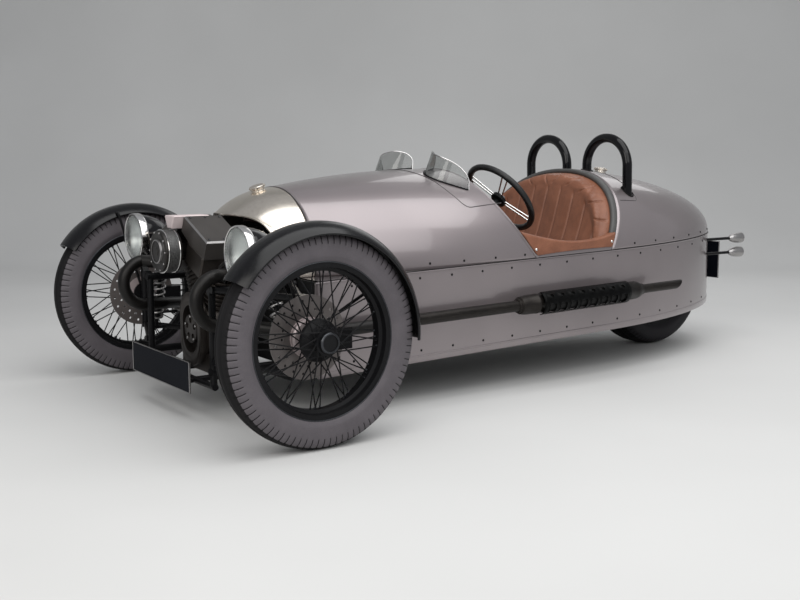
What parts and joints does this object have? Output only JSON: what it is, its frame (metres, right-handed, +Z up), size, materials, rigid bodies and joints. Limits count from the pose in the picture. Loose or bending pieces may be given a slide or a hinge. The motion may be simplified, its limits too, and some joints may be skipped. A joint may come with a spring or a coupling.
{
  "type": "three-wheeled open sports car",
  "caption": "Low open sports car with steered wire wheels under cycle wings, an exposed vee engine at the nose, side exhausts, a leather bench, roll hoops and a rounded tail.",
  "frame": {"origin": "on the ground under the middle of the length and width", "axes": "+X forward, +Y to the left, +Z up"},
  "size_m": [3.135, 1.686, 1.0177],
  "materials": {
    "body_paint": "metallic gloss",
    "frame_black": "satin",
    "floor_black": "matte",
    "gloss_black": "gloss",
    "cowl_metal": "polished",
    "radiator_core": "matte",
    "tan_leather": "satin",
    "rim_leather": "matte",
    "dash_black": "matte",
    "wheel_rim": "satin",
    "bright_caps": "polished",
    "screen_tint": "clear",
    "lamp_glass": "clear",
    "engine_metal": "cast",
    "filter_metal": "satin",
    "pipe_metal": "dark",
    "shield_black": "matte",
    "plate_black": "matte",
    "tail_red": "gloss",
    "spring_metal": "satin",
    "spoke_black": "satin",
    "tyre_rubber": "matte",
    "disc_steel": "satin"
  },
  "bodies": {
    "car": {"side_panel_left": "body_paint", "side_panel_right": "body_paint", "bonnet": "body_paint", "rear_deck": "body_paint", "sill_strips": "body_paint", "chassis_frame": "frame_black", "wishbones": "frame_black", "swing_arm": "frame_black", "floor_pan": "floor_black", "roll_hoops": "gloss_black", "headlamps": "gloss_black", "nose_cowl": "cowl_metal", "radiator": "radiator_core", "seat_back": "tan_leather", "seat_cushion": "tan_leather", "sill_pads": "tan_leather", "seat_rim": "rim_leather", "dashboard": "dash_black", "steering_column": "dash_black", "filler_caps": "bright_caps", "aero_screens": "screen_tint", "headlamp_lenses": "lamp_glass", "crankcase": "engine_metal", "cylinders": "engine_metal", "air_filter": "filter_metal", "exhaust_left": "pipe_metal", "exhaust_right": "pipe_metal", "heat_shields": "shield_black", "number_plates": "plate_black", "tail_lamps": "tail_red", "dampers": "spring_metal", "rack_housing": "spring_metal"},
    "steering_wheel": {"steering_wheel": "wheel_rim"},
    "steering_rack": {"steering_rack": "spring_metal"},
    "knuckle_left": {"knuckle_left": "frame_black", "wing_left": "gloss_black"},
    "knuckle_right": {"knuckle_right": "frame_black", "wing_right": "gloss_black"},
    "front_wheel_left": {"front_wheel_left": "spoke_black", "front_tyre_left": "tyre_rubber", "brake_disc_left": "disc_steel"},
    "front_wheel_right": {"front_wheel_right": "spoke_black", "front_tyre_right": "tyre_rubber", "brake_disc_right": "disc_steel"},
    "rear_wheel": {"rear_wheel": "spoke_black", "rear_tyre": "tyre_rubber"}
  },
  "joints": [
    {"name": "steer_left", "type": "hinge", "parent": "car", "child": "knuckle_left", "pos_m": [1.2225, 0.66, 0.345], "axis": [0, 0, 1], "range_deg": [-24, 24]},
    {"name": "steer_right", "type": "hinge", "parent": "car", "child": "knuckle_right", "pos_m": [1.2225, -0.66, 0.345], "axis": [0, 0, 1], "range_deg": [-24, 24]},
    {"name": "steering_wheel_turn", "type": "hinge", "parent": "car", "child": "steering_wheel", "pos_m": [-0.0025, 0.189, 0.744], "axis": [-0.788, 0, 0.6157], "range_deg": [-240, 240]},
    {"name": "rack_slide", "type": "slide", "parent": "car", "child": "steering_rack", "axis": [0, 1, 0], "range_m": [-0.053, 0.053]},
    {"name": "front_left_spin", "type": "hinge", "parent": "knuckle_left", "child": "front_wheel_left", "pos_m": [1.2225, 0.766, 0.345], "axis": [0, 1, 0], "continuous": true},
    {"name": "front_right_spin", "type": "hinge", "parent": "knuckle_right", "child": "front_wheel_right", "pos_m": [1.2225, -0.766, 0.345], "axis": [0, 1, 0], "continuous": true},
    {"name": "rear_spin", "type": "hinge", "parent": "car", "child": "rear_wheel", "pos_m": [-1.1125, 0, 0.312], "axis": [0, 1, 0], "continuous": true}
  ],
  "couplings": [
    {"joint": "steer_right", "follows": "steer_left", "ratio": 1},
    {"joint": "steering_wheel_turn", "follows": "steer_left", "ratio": 10},
    {"joint": "rack_slide", "follows": "steer_left", "m_per_rad": -0.12623}
  ]
}
